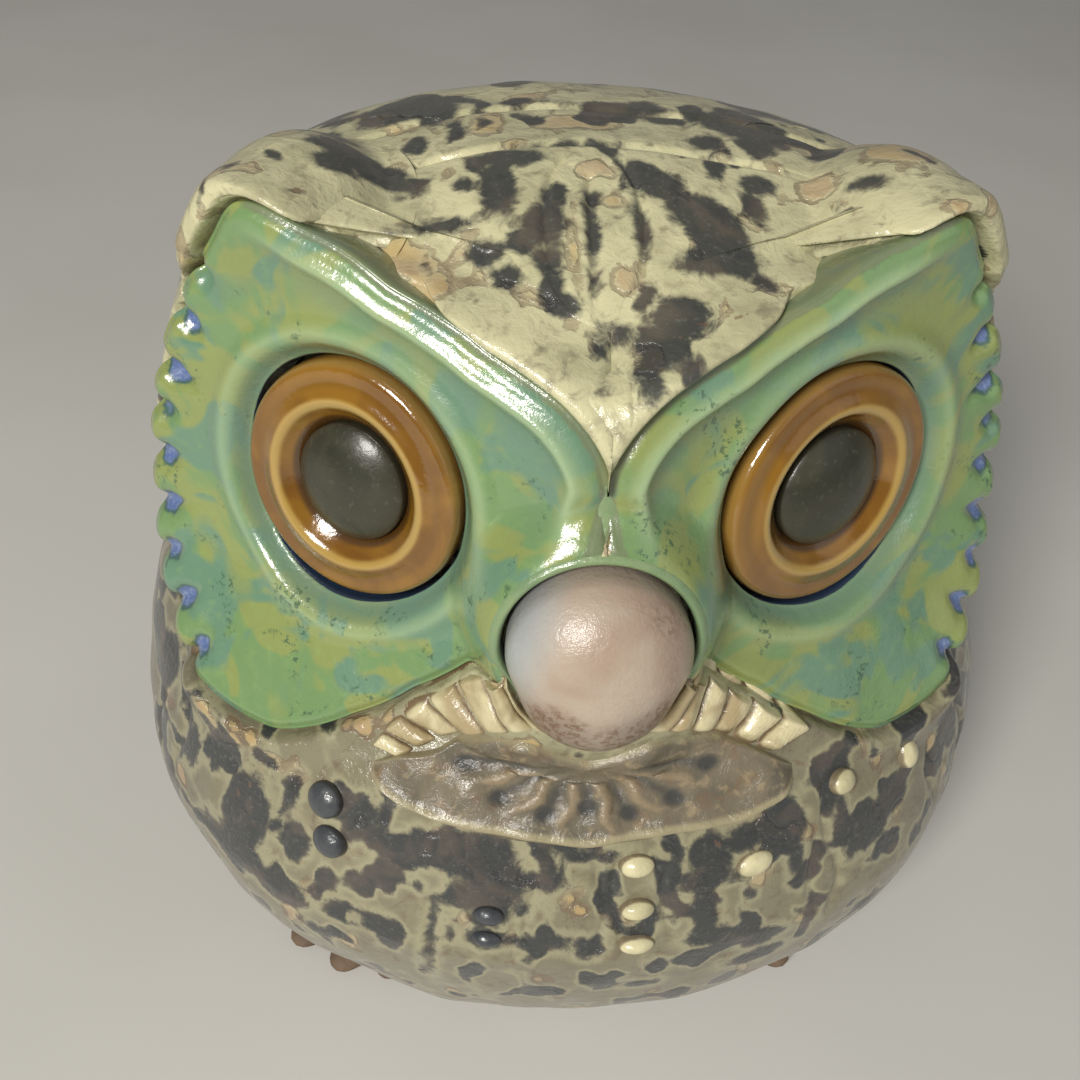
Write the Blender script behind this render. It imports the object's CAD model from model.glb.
import math

import bpy
import numpy as np
from mathutils import Matrix, Vector


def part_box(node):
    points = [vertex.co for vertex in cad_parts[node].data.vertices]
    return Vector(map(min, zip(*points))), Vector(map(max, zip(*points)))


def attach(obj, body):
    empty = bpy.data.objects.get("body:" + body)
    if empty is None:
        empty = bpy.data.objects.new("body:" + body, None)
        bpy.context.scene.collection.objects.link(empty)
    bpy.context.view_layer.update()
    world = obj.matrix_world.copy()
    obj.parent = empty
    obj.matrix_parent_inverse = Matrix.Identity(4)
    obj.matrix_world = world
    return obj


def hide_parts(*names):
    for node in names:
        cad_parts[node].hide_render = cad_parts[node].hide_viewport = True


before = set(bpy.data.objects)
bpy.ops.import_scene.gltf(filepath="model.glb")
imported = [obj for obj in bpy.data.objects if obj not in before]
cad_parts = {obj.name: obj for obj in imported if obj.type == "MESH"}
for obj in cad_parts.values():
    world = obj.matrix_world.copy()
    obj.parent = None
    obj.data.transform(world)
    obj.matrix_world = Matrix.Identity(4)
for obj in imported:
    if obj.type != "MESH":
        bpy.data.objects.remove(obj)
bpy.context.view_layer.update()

# Glazed stoneware owl figurine. Shapes are worked out in millimetres and made in metres.
MM = 0.001


# ---------------------------------------------------------------- places taken from the CAD frame
def box_mm(node):
    """Lowest and highest corner of a CAD node in millimetres."""
    low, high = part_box(node)
    return np.array(low) / MM, np.array(high) / MM


TORSO_LOW, TORSO_HIGH = box_mm("torso_shell")
RING_LOW, RING_HIGH = box_mm("eye_ring_left")
BEAK_LOW, BEAK_HIGH = box_mm("beak")
BIB_LOW = box_mm("bib")[0]
EAR_HIGH = box_mm("ear_tuft_left")[1]

UP = np.array([0, 0, 1.0])
AFT = np.array([0, 1.0, 0])
NECK = TORSO_HIGH[2]  # height of the seam between head and torso
GROUND = TORSO_LOW[2]
HALF_WIDTH = TORSO_HIGH[0]
BODY_Y = (TORSO_LOW[1] + TORSO_HIGH[1]) / 2 + 1.05  # the body's axis stands a little behind the middle
WAIST = NECK - 17.0
HEAD_MID = NECK + 20.0
CORE = np.array([0.0, BODY_Y, NECK + 4.0])  # every point of the body is seen from here
# nearest and farthest that the surface is looked for, in mm
CORE_REACH = (10, 90)  # from the core, any way
AXIS_REACH = (5, 80)  # from the body's axis, level
CHEST_REACH = (5, 70)  # from the axis to the front
SLOPE_STEP = 0.4  # mm between two points whose difference gives a slope

# ---------------------------------------------------------------- face frame, +X side
FACE_TURN = math.radians(29.2)
FACE_TILT = math.radians(9.4)
FACE_U = np.array([math.cos(FACE_TURN), math.sin(FACE_TURN), 0.0])
FACE_N = np.array([math.sin(FACE_TURN), -math.cos(FACE_TURN), 0.0]) * math.cos(FACE_TILT)
FACE_N = FACE_N + UP * math.sin(FACE_TILT)
FACE_V = np.cross(FACE_N, FACE_U)
EYE = (RING_LOW + RING_HIGH) / 2 + 1.5 * FACE_N

PUPIL_R = 6.45
SOCKET_R = 13.55
EYE_OVAL = {1: 1.0, -1: 0.95}  # the eye on the -X side is a little narrower

# rim of a facial disc: degrees and radius about the eye, anticlockwise from the temple
RIM = (
    (-180, 23.9), (-168, 20.3), (-157, 20.5), (-147, 22.0), (-135, 21.6), (-118, 22.2), (-101, 24.8),
    (-83, 29.3), (-66, 31.2), (-50, 30.9), (-36, 29.6), (-12, 26.4), (10, 24.9), (28, 24.5), (46, 25.2),
    (57, 26.8), (66, 28.7), (71, 28.2), (80, 25.9), (102, 23.0), (115, 22.9), (127, 23.5), (137, 25.3),
    (143, 26.7), (150, 27.9), (156, 28.5), (162, 28.4), (168, 26.9), (175, 25.3),
)
# scallop notches along the temple edge: degrees, length in mm, how much blue glaze lies in it
NOTCHES = (
    (47, 3.0, 0.25), (32, 4.6, 0.8), (15, 6.0, 1.0), (2, 4.4, 0.55), (-11, 4.6, 0.9), (-24, 5.4, 1.0),
    (-35, 4.4, 0.9), (-46, 5.2, 1.0), (-57, 4.2, 0.8),
)


# ---------------------------------------------------------------- small maths
def smooth(value, low, high):
    """0 below low, 1 above high, and a soft step between (either order)."""
    t = np.clip((value - low) / (high - low), 0, 1)
    return t * t * (3 - 2 * t)


def bump(value, width):
    """1 at 0, falling away to both sides within about the width."""
    return np.exp(-((value / width) ** 2))


def soft_max(a, b, width):
    """The larger of two, blended where they are within the width of each other."""
    h = np.clip(0.5 + 0.5 * (a - b) / width, 0, 1)
    return b * (1 - h) + a * h + width * h * (1 - h)


def soft_min(a, b, width):
    return -soft_max(-a, -b, width)


def around(count):
    """count even angles of a full turn, in radians."""
    return np.linspace(0, 2 * math.pi, count, endpoint=False)


def uvw(u, v, w):
    """Three arrays of coordinates as one array of points."""
    return np.stack([u, v, w], -1)


def cross_ways(up, out):
    """Unit directions to the side and upwards across a way out."""
    side_way = np.cross(up, out)
    side_way /= np.linalg.norm(side_way)
    return side_way, np.cross(out, side_way)


def ripple(points, size, seed, waves=14):
    """Smooth seeded noise of about unit height whose lumps are about size mm across."""
    rng = np.random.default_rng(seed)
    total = np.zeros(points.shape[:-1])
    for _ in range(waves):
        way = rng.normal(size=3)
        way *= 2 * math.pi / (size * 2.2 * rng.uniform(0.7, 1.5) * np.linalg.norm(way))
        total += np.sin(points @ way + rng.uniform(0, 2 * math.pi))
    return total * math.sqrt(2 / waves)


def periodic(pairs, blur=2.2, margin=12):
    """(degrees, value) pairs as TABLE_SIZE smooth values round a full turn, from -180 degrees on."""
    at, value = np.array(pairs, float).T
    turn = np.linspace(-180, 180, TABLE_SIZE, endpoint=False)
    table = np.interp(turn, at, value, period=360)
    kernel = bump(np.arange(-margin, margin + 1) * 360 / TABLE_SIZE, blur)
    kernel /= kernel.sum()
    return np.convolve(np.pad(table, margin, mode="wrap"), kernel, "valid")


# ---------------------------------------------------------------- body form
def gauge(points, mid, half, front, back, up, down, plan_power, side_power):
    """1 on the surface of a rounded form, less than 1 inside it."""
    q = points - np.array(mid)
    depth = np.where(q[..., 1] < 0, front, back)
    height = np.where(q[..., 2] > 0, up, down)
    plan = np.abs(q[..., 0] / half) ** plan_power + np.abs(q[..., 1] / depth) ** plan_power
    side = np.abs(q[..., 2] / height) ** side_power
    return (plan ** (side_power / plan_power) + side) ** (1 / side_power)


# each form: its middle, then half width, reach to front, back, up and down, powers of plan and side
SKULL = ((0, BODY_Y - 2, HEAD_MID), 48, 36, 46, 44, 36, 2.3, 2.2)
CROWN = ((0, BODY_Y, HEAD_MID), 64, 42, 48, 36.9, 60, 2.0, 2.1)
EAR_LUMP = ((28.4, EAR_HIGH[1] - 2.5, EAR_HIGH[2] - 15.9), 11.0, 14.6, 16.6, 13.8, 20, 2, 2)
BELLY = ((0, BODY_Y, WAIST), HALF_WIDTH - 0.2, 50.3, 46, 43, 38, 2.1, 2.3)
CHIN = ((0, BODY_Y - 30, NECK + 11), 17, 11, 11, 14, 14, 2, 2)
CHEST_LEAN = 0.25  # how far the torso leans forwards for each mm over its waist


def head_gauge(points):
    whole = soft_max(gauge(points, *SKULL), gauge(points, *CROWN), 0.12)
    folded = uvw(np.abs(points[..., 0]), points[..., 1], points[..., 2])
    return soft_min(whole, gauge(folded, *EAR_LUMP), 0.08)


def torso_gauge(points):
    over_waist = np.clip(points[..., 2] - WAIST - 1, 0, None)
    return gauge(points - AFT * (CHEST_LEAN * over_waist)[..., None], *BELLY)


def body_gauge(points):
    """Gauge of the whole body: head, ears, torso and the swelling of the chin."""
    body = soft_min(head_gauge(points), torso_gauge(points), 0.05)
    return soft_min(body, gauge(points, *CHIN), 0.06)


def reach(start, way, low, high, field=body_gauge, steps=30):
    """Distance along way from start to where the field passes 1."""
    near = np.full(way.shape[:-1], float(low))
    far = np.full(way.shape[:-1], float(high))
    for _ in range(steps):
        mid = (near + far) / 2
        inside = field(start + way * mid[..., None]) < 1
        near = np.where(inside, mid, near)
        far = np.where(inside, far, mid)
    return (near + far) / 2


def crown_angle(points):
    """Degrees up and over the head: 0 at the front, 90 on top."""
    return np.degrees(np.arctan2(points[..., 2] - HEAD_MID, BODY_Y - points[..., 1]))


def torso_turn(points):
    """Degrees round the torso: 0 at the front, positive towards +X."""
    return np.degrees(np.arctan2(points[..., 0], BODY_Y - points[..., 1]))


# ---------------------------------------------------------------- facial disc form
TABLE_SIZE = 720  # values in the rim's table
RIM_TABLE = periodic(RIM)
NOTCH_HALF = 3.2  # degrees


def notch_shape(turn):
    """How far inside a scallop notch an angle is: 1 in its middle, 0 between notches."""
    total = np.zeros_like(turn)
    for degrees, _, blue in NOTCHES:
        total += bump(turn - degrees, NOTCH_HALF) * (0.5 + 0.5 * blue)
    return total


def rim_radius(turn):
    """Rim radius at an angle in degrees, with the lobes of the temple edge."""
    at = np.arange(TABLE_SIZE) * 360 / TABLE_SIZE
    plain = np.interp((turn + 180) % 360, at, RIM_TABLE, period=360)
    temple = smooth(turn, -66, -58) * smooth(turn, 54, 46)
    return plain + temple * (0.35 - 0.8 * notch_shape(turn))


def rim_points(count):
    """count points on the rim, evenly spaced along it, and their outward normals."""
    turn = np.linspace(-180, 180, 2881)
    radius = rim_radius(turn)
    u = radius * np.cos(np.radians(turn))
    v = radius * np.sin(np.radians(turn))
    length = np.concatenate([[0], np.cumsum(np.hypot(np.diff(u), np.diff(v)))])
    at = np.linspace(0, length[-1], count, endpoint=False)
    points = np.stack([np.interp(at, length, u), np.interp(at, length, v)], -1)
    tangent = np.roll(points, -1, 0) - np.roll(points, 1, 0)
    tangent /= np.linalg.norm(tangent, axis=1)[:, None]
    normal = np.stack([tangent[:, 1], -tangent[:, 0]], -1)
    for _ in range(3):
        normal = (np.roll(normal, 1, 0) + normal * 2 + np.roll(normal, -1, 0)) / 4
    return points, normal / np.linalg.norm(normal, axis=1)[:, None]


RIM_COUNT = 420
RIM_UV, RIM_NORMAL = rim_points(RIM_COUNT)


def disc_bend(v):
    """Height of the plain disc over its own plane: it curves forwards at cheek and brow."""
    cheek = 0.0128 * np.clip(-3 - v, 0, None) ** 2
    brow = 0.0068 * np.clip(v - 5, 0, None) ** 2
    return cheek + brow


SEARCH_BLOCK = 4096  # points compared with the rim at a time
RIM_W = disc_bend(RIM_UV[:, 1])
RIM_TURN = np.degrees(np.arctan2(RIM_UV[:, 1], RIM_UV[:, 0]))
# the body meets the disc along brow, nose and chin, and stays behind it at the temple
RIM_MEETS = 1 - smooth(RIM_TURN, -62, -48) * smooth(RIM_TURN, 66, 56)


def rim_distance(u, v):
    """Signed distance to the rim, positive outside, and the nearest rim point's number."""
    shape = u.shape
    flat_u, flat_v = u.ravel(), v.ravel()
    distance = np.empty(flat_u.size)
    nearest = np.empty(flat_u.size, int)
    for start in range(0, flat_u.size, SEARCH_BLOCK):
        part = slice(start, start + SEARCH_BLOCK)
        du = flat_u[part, None] - RIM_UV[None, :, 0]
        dv = flat_v[part, None] - RIM_UV[None, :, 1]
        square = du * du + dv * dv
        index = square.argmin(1)
        rows = np.arange(index.size)
        out = du[rows, index] * RIM_NORMAL[index, 0] + dv[rows, index] * RIM_NORMAL[index, 1]
        distance[part] = np.sqrt(square[rows, index]) * np.sign(out)
        nearest[part] = index
    return distance.reshape(shape), nearest.reshape(shape)


def to_face(points, side):
    """Face coordinates (u, v, w) of points for the +X (side 1) or -X (side -1) disc."""
    q = points * np.array([side, 1, 1]) - EYE
    return q @ FACE_U, q @ FACE_V, q @ FACE_N


def from_face(u, v, w, side):
    """Points at face coordinates on the disc of a side."""
    points = EYE + u[..., None] * FACE_U + v[..., None] * FACE_V + w[..., None] * FACE_N
    return points * np.array([side, 1, 1])


LIP_PROUD = 0.55  # how far the crown stands above the edge of a disc
LIP_REACH = 7.0
LIP_DEPTH = 9.0  # the search for the body under the lip starts this far behind the rim
GROOVE = 0.75  # width of the groove between disc and crown


# section of the rolled lip from the open body in to the groove: distance outside the rim, height
LIP_SECTION = (
    (6.2, -0.16), (5.6, -0.04), (5.0, 0.03), (4.2, 0.05), (3.4, 0.06), (2.7, 0.08), (2.1, 0.10), (1.6, 0.08),
    (1.25, -0.03), (1.0, -0.22), (GROOVE, -0.55), (0.6, -1.0), (0.5, -1.7), (0.3, -2.4), (-0.6, -2.8),
)
LIP_SINK = 0.12
LIP_ENDS = 0.9  # how far the lip sinks where it leaves the body


def settled(w, out, index):
    """Body height near a disc: the body is drawn to the level of the disc's edge."""
    target = RIM_W[index] + LIP_PROUD
    gap = target - w
    pull = smooth(out, LIP_REACH, 1.2) * smooth(np.abs(gap), 6.8, 3.2) * RIM_MEETS[index]
    return w + pull * gap


# ---------------------------------------------------------------- beak frame
BEAK = np.array([0.0, BEAK_LOW[1] + 6.16, BEAK_HIGH[2] - 9.35])
BEAK_TILT = math.radians(-8)
BEAK_OUT = np.array([0.0, -math.cos(BEAK_TILT), -math.sin(BEAK_TILT)])
BEAK_UP = np.array([0.0, -math.sin(BEAK_TILT), math.cos(BEAK_TILT)])
BEAK_SIDE = np.array([1.0, 0.0, 0.0])
BEAK_R = 8.9
BEAK_TIP = 11.0


def beak_edge(turn):
    """Outline radius of the beak at an angle from its +X side, anticlockwise."""
    down = np.clip(-np.sin(turn), 0, 1)
    return BEAK_R * (1 + (BEAK_TIP / BEAK_R - 1) * down**2.2 - 0.05 * np.sin(np.pi * down) ** 2)


def on_beak(across, up, out):
    """Points at distances across, up and out from the beak's middle."""
    return BEAK + across[..., None] * BEAK_SIDE + up[..., None] * BEAK_UP + out[..., None] * BEAK_OUT


SWELL_LEVEL = -1.2  # height on the beak to which the face swells round it
SWELL_REACH = 5.6
SOCKET_DEPTH = 3.4


def swollen(points):
    """Points raised towards the beak: the face swells up to a socket round it."""
    q = points - BEAK
    side, up, out = q[..., 0], q @ BEAK_UP, q @ BEAK_OUT
    far = np.hypot(side, up) - beak_edge(np.arctan2(up, side))
    near = smooth(out, -17, -11)
    lift = np.clip(SWELL_LEVEL - out, 0, None) * smooth(far, SWELL_REACH, 1.0) * near
    lift = lift - SOCKET_DEPTH * smooth(far, 0.75, 0.1) * near
    return points + BEAK_OUT * lift[..., None]


# ---------------------------------------------------------------- mesh building
def grid_faces(rows, columns, closed):
    """Quads of a grid whose columns may close on themselves."""
    last = columns if closed else columns - 1
    r, c = np.meshgrid(np.arange(rows - 1), np.arange(last), indexing="ij")
    n = (c + 1) % columns
    quad = np.stack([r * columns + c, r * columns + n, (r + 1) * columns + n, (r + 1) * columns + c], -1)
    return quad.reshape(-1, 4)


class Shape:
    """Vertices, faces and named values per vertex, put together from several grids."""

    def __init__(self):
        self.points = []
        self.faces = []
        self.values = {}
        self.count = 0

    def grid(self, points, closed=False, flip=False, cap_first=False, cap_last=False, **values):
        rows, columns = points.shape[:2]
        quads = grid_faces(rows, columns, closed) + self.count
        if flip:
            quads = quads[:, ::-1]
        self.faces.extend(quads.tolist())
        ends = ((cap_first, 0, True), (cap_last, rows - 1, False))
        for wanted, row, backwards in ends:
            if wanted:
                loop = (np.arange(columns) + row * columns + self.count).tolist()
                self.faces.append(loop[::-1] if backwards != flip else loop)
        self.points.append(points.reshape(-1, 3))
        for key in set(self.values) | set(values):
            old = self.values.setdefault(key, [np.zeros(self.count)] if self.count else [])
            new = values.get(key, 0.0)
            old.append(np.broadcast_to(new, (rows, columns)).reshape(-1).astype(float))
        self.count += rows * columns

    def piece(self, name, node, slot, material, mirror_x=False):
        """Makes the object, rides it on the body and puts it in place of its CAD node."""
        points = np.concatenate(self.points)
        faces = self.faces
        if mirror_x:
            points = points * np.array([-1, 1, 1])
            faces = [face[::-1] for face in faces]
        mesh = bpy.data.meshes.new(name)
        mesh.from_pydata((points * MM).tolist(), [], faces)
        mesh.polygons.foreach_set("use_smooth", [True] * len(mesh.polygons))
        for key, parts in self.values.items():
            layer = mesh.attributes.new(key, "FLOAT", "POINT")
            layer.data.foreach_set("value", np.concatenate(parts).astype(np.float32))
        mesh.update()
        mesh.materials.append(material)
        piece = bpy.data.objects.new(name, mesh)
        bpy.context.scene.collection.objects.link(piece)
        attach(piece, "root")
        if node:
            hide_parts(node)
        return piece


# ---------------------------------------------------------------- glaze marks on the body
# dark glaze on the crown: x, degrees over the head, half width, half height, tilt in degrees
CROWN_MARKS = (
    (-23, 79, 4.6, 2.2, -25), (-28, 88, 3.8, 2.0, -20), (-19.5, 75.5, 2.8, 1.0, -20), (-25, 75, 1.8, 1.4, 0),
    (-31, 100, 3.0, 1.8, -15), (-40, 106, 3.0, 3.0, 0), (-20, 104, 4.5, 2.6, 10), (-16, 99, 1.6, 2.6, 0),
    (-29, 109, 6.0, 1.6, 0), (-18, 88, 1.0, 1.7, 0), (-14, 92, 0.8, 2.2, 0), (-7, 112, 4.0, 3.2, 0),
    (-8, 104, 1.8, 1.8, 0), (-15, 66, 2.8, 0.8, 5), (-13, 74, 0.9, 0.9, 0), (-11, 60.5, 1.5, 1.3, 0),
    (-9, 56, 1.2, 1.3, 0), (-9, 80, 3.2, 1.4, 0), (-9.8, 73, 1.4, 3.8, 8), (-4.6, 70.5, 1.2, 1.6, 0),
    (-5.6, 65, 1.7, 2.4, 0), (-7.6, 62, 1.3, 1.2, 0), (-5.6, 58.5, 1.1, 1.9, 0), (-5.2, 54.5, 1.1, 1.7, 0),
    (-4.0, 52, 1.3, 1.1, 0), (-1.2, 70, 0.7, 1.0, 0), (-1.4, 63.5, 0.55, 3.8, 0), (-0.9, 46, 0.5, 1.9, 0),
    (3.8, 76.5, 1.8, 2.0, 20), (5.6, 73.5, 2.0, 2.0, 0), (3.2, 65.5, 0.6, 3.0, 5), (8.8, 68.5, 3.0, 2.2, -20),
    (10.5, 64.5, 2.6, 2.4, 0), (10, 59.5, 3.6, 1.5, 0), (14, 56.2, 1.3, 0.9, -35), (6.2, 50.5, 2.8, 1.9, 10),
    (4.3, 46, 2.0, 2.0, 20), (3.1, 42, 1.0, 1.6, 10), (0.6, 48.4, 1.4, 0.5, 5), (-2.6, 84.5, 3.6, 0.5, 4),
    (3, 102, 5.2, 1.5, 0), (7, 97, 2.2, 1.5, -15), (11, 88, 1.5, 1.6, 0), (11, 80, 0.9, 1.8, 0),
    (16, 97, 4.2, 4.0, 0), (16, 88.5, 1.8, 2.2, 0), (21, 93, 3.6, 1.4, 0), (13, 100, 2.2, 1.2, 0),
    (24, 114, 6.0, 3.6, 0), (32, 110, 5.0, 2.6, 0), (40, 103, 3.4, 2.6, 0), (15, 76.5, 1.7, 1.5, 0),
    (14.3, 71.5, 1.0, 2.0, 10), (25, 73, 1.6, 0.8, -10),
)
# bare tan spots on the crown in the same terms
CROWN_BARE = (
    (-18, 60, 3.2, 1.8, -30), (-16, 55, 1.7, 1.8, -30), (-30, 85, 1.7, 2.0, 0), (-11, 93, 1.6, 2.6, 0),
    (-2, 93, 4.0, 1.8, 0), (30, 89, 9.0, 2.2, -8), (29, 81, 3.0, 2.6, 0), (21, 77, 1.5, 1.8, 0),
    (34, 83, 3.4, 2.0, 0), (-3, 61, 0.4, 2.9, 3), (1.6, 56, 1.2, 1.2, 25), (0.6, 70, 1.4, 0.5, 0),
)
# dark glaze on the torso: degrees round it, height, half width, half height, tilt
TORSO_MARKS = (
    (-31, 43.5, 1.8, 3.0, 0), (-26, 41.5, 3.4, 2.0, -10), (-20, 42, 4.2, 2.2, 0), (-14.5, 42.5, 3.8, 2.0, 0),
    (-12, 39.8, 3.2, 1.8, 0), (-16, 38, 2.6, 1.4, 0), (-7, 40.2, 2.8, 0.9, -6), (-4, 41.5, 0.9, 1.7, 0),
    (-70, 45, 2.6, 4.2, 8), (-56, 46, 1.6, 1.8, 0), (-54, 42, 1.6, 2.4, 0), (-47, 37, 2.8, 4.6, 0),
    (-41, 43, 1.0, 2.4, 0), (-39, 37.5, 1.6, 2.0, 0), (-59, 39, 1.4, 2.6, 0), (-77, 44, 2.6, 2.8, 0),
    (-48, 31, 4.4, 2.2, 0), (-40, 30, 3.0, 2.0, 0), (-31, 31, 1.8, 1.2, 0), (-26, 31.5, 1.6, 1.4, 0),
    (-8, 37, 0.8, 0.9, 0), (-5, 32.8, 2.6, 0.8, 0), (-19, 32, 0.5, 4.4, 0), (1, 32, 1.4, 1.3, 0),
    (-12, 36, 1.7, 1.4, 0), (-12, 33, 1.8, 1.2, 0), (28, 44, 2.1, 3.2, 0), (23, 43.4, 3.6, 1.2, 12),
    (17, 42, 2.0, 2.4, 0), (16, 39.6, 3.4, 1.0, 0), (16, 35.4, 1.3, 3.0, 0), (16.5, 32, 2.2, 1.3, 0),
    (29, 39, 0.8, 2.4, 0), (41, 38, 3.2, 2.0, 25), (46, 40, 2.4, 1.8, 30), (37, 41, 0.9, 2.6, 0),
    (60, 41, 1.8, 3.0, 15), (70, 38, 1.7, 3.0, 0), (76, 43, 1.3, 2.4, 0), (24, 29, 2.4, 1.4, 0),
    (24, 25, 3.0, 1.2, 0), (8, 24, 1.8, 1.0, 0), (0, 43, 3.0, 0.6, 0),
)
# pale windows left in the dark glaze of the torso
TORSO_PALE = (
    (-26, 44.3, 1.8, 1.2, 0), (-20, 38.8, 2.0, 1.5, 0), (-29.5, 39.5, 2.2, 1.4, 0), (-29, 31.2, 1.0, 1.2, 0),
    (-5.5, 42, 1.8, 1.0, 0),
)
# incised lines on the torso: degrees round it, lower and upper height
TORSO_LINES = (
    (-41.5, 33, 45), (-44, 34, 46), (-51, 36, 47), (-19, 27, 37), (-9.5, 33, 39), (-6.5, 33, 39.5),
    (2.2, 31, 42), (4.4, 32, 42), (11, 33, 41), (31.5, 31, 44), (34.5, 29, 46), (55, 32, 44), (64, 30, 47),
    (-62, 32, 47), (-69, 30, 40),
)
MM_PER_DEGREE_CROWN = 0.66
MM_PER_DEGREE_TORSO = 0.84
NO_MARK = -4.0  # depth given to points far from any mark
MARK_GROWTH = 1.12
VEINS = range(57, 80, 6)  # degrees over the head where the leaf's veins leave its spine


def marks(across, along, listed):
    """Depth in mm inside the nearest of the listed ovals; negative outside all of them."""
    best = np.full(across.shape, NO_MARK)
    for a, b, half_a, half_b, tilt in listed:
        c, s = math.cos(math.radians(tilt)), math.sin(math.radians(tilt))
        x, y = across - a, along - b
        far = np.hypot((x * c + y * s) / half_a, (y * c - x * s) / half_b) / MARK_GROWTH
        best = soft_max(best, (1 - far) * min(half_a, half_b) * 1.15, 0.5)
    return best


def scaled(listed, across, along):
    """The same ovals with their middles turned from degrees into mm."""
    return tuple((m[0] * across, m[1] * along) + m[2:] for m in listed)


def body_values(points):
    """Glaze values of body points: dark patches, bare spots, height and how far round the flank."""
    x = points[..., 0]
    over = crown_angle(points) * MM_PER_DEGREE_CROWN
    turn = torso_turn(points) * MM_PER_DEGREE_TORSO
    height = points[..., 2]
    on_head = smooth(height, NECK - 2, NECK + 6)
    crown_dark = marks(x, over, scaled(CROWN_MARKS, 1, MM_PER_DEGREE_CROWN))
    crown_bare = marks(x, over, scaled(CROWN_BARE, 1, MM_PER_DEGREE_CROWN))
    torso_dark = marks(turn, height, scaled(TORSO_MARKS, MM_PER_DEGREE_TORSO, 1))
    torso_pale = marks(turn, height, scaled(TORSO_PALE, MM_PER_DEGREE_TORSO, 1))
    torso_dark = np.where(torso_pale > -0.3, np.minimum(torso_dark, -torso_pale), torso_dark)
    dark = torso_dark * (1 - on_head) + crown_dark * on_head
    worn = ripple(points, 2.6, 14) * 1.2 + ripple(points, 1.3, 15) * 0.5
    crown_top = 1.5 * smooth(over / MM_PER_DEGREE_CROWN, 76, 100) * on_head
    flank = smooth(np.abs(torso_turn(points)), 36, 70)
    low_zone = smooth(height, NECK + 17, NECK + 8)
    low_zone = low_zone * (1 - smooth(np.abs(x), 25, 20) * smooth(height, NECK + 1, NECK + 4))
    dark = soft_max(dark, worn - 2.5 + crown_top + (1.25 + 0.9 * flank) * low_zone, 0.4)
    ragged = smooth(height + 9 * ripple(points, 6.5, 17), NECK - 4, NECK + 8)
    front = smooth(over / MM_PER_DEGREE_CROWN, 112, 98) * ragged
    front = front + (1 - ragged) * smooth(np.abs(torso_turn(points)), 92, 74)
    wild = ripple(points, 5.2, 11) * 1.5 + ripple(points, 2.4, 12) * 0.5 - 0.7
    dark = np.where(front < 1, dark * front + wild * (1 - front), dark)
    bare = crown_bare * on_head + (1 - on_head) * NO_MARK
    bare = soft_max(bare, ripple(points, 3.0, 13) * 1.0 + ripple(points, 1.2, 16) * 0.35 - 1.75, 0.3)
    return {"dark": dark, "bare": bare, "height": height, "flank": flank * low_zone}


def line_depth(points):
    """Depth in mm of the incised lines on crown and torso."""
    x = points[..., 0]
    over = crown_angle(points)
    turn = torso_turn(points)
    height = points[..., 2]
    crown = smooth(height, NECK + 18, NECK + 24)
    leaf_half = 4.6 * np.sqrt(np.clip(1 - ((over - 66) / 17) ** 2, 0, 1))
    leaf = bump(np.abs(x + 1) - leaf_half, 0.45) * smooth(over, 50, 54) * smooth(over, 83, 79)
    spine = bump(x + 1.3, 0.45) * smooth(over, 50, 54) * smooth(over, 78, 74)
    low_arc = bump((over - 84.5 + 0.011 * x * x) * MM_PER_DEGREE_CROWN, 0.5) * smooth(np.abs(x), 24, 18)
    high_arc = bump((over - 100 + 0.009 * x * x) * MM_PER_DEGREE_CROWN, 0.6) * smooth(np.abs(x), 30, 22)
    veins = np.zeros_like(x)
    for at in VEINS:
        slope = over - at - 1.6 * np.abs(x + 1.3)
        inside = smooth(leaf_half - np.abs(x + 1.3), 0.2, 1.0)
        veins = np.maximum(veins, bump(slope * MM_PER_DEGREE_CROWN, 0.35) * inside)
    total = crown * (0.42 * leaf + 0.4 * spine + 0.5 * low_arc + 0.55 * high_arc + 0.2 * veins)
    strips = np.zeros_like(x)
    for degrees, low, high in TORSO_LINES:
        wave = degrees + 0.8 * np.sin(height * 0.5 + degrees)
        inside = smooth(height, low - 1.5, low + 1.5) * smooth(height, high + 1, high - 1)
        strips = np.maximum(strips, bump((turn - wave) * MM_PER_DEGREE_TORSO, 0.5) * inside)
    return total + 0.55 * strips * smooth(height, NECK + 3, NECK)


def near_disc(points, side):
    """Which points are near the disc of a side, and the face coordinates of those."""
    u, v, w = to_face(points, side)
    near = (np.hypot(u, v) < 42) & (w > -24) & (side * points[..., 0] > -2)
    return near, u[near], v[near], w[near]


def disc_pocket(u, v, index):
    """Height of the body's pocket behind a disc, deeper behind the eye."""
    return np.minimum(RIM_W[index], disc_bend(v)) - 3.2 - 4.5 * smooth(np.hypot(u, v), 17, 14.5)


def body_surface(points):
    """Body points with their fine relief, and drawn in under the facial discs."""
    away = points - CORE
    away /= np.linalg.norm(away, axis=-1)[..., None]
    uneven = 0.16 * ripple(points, 9, 21) + 0.06 * ripple(points, 3.4, 22)
    points = points + away * (uneven - line_depth(points) - 0.12)[..., None]
    for side in (1, -1):
        near, u, v, w = near_disc(points, side)
        out, index = rim_distance(u, v)
        level = settled(w, out, index) - 0.5 * smooth(out, 5.2, 3.6)
        inner = np.minimum(level, disc_pocket(u, v, index))
        level = level + (inner - level) * smooth(out, 1.6, 0.2)
        points[near] += (np.array([side, 1, 1]) * FACE_N) * (level - w)[..., None]
    return swollen(points)


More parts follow.
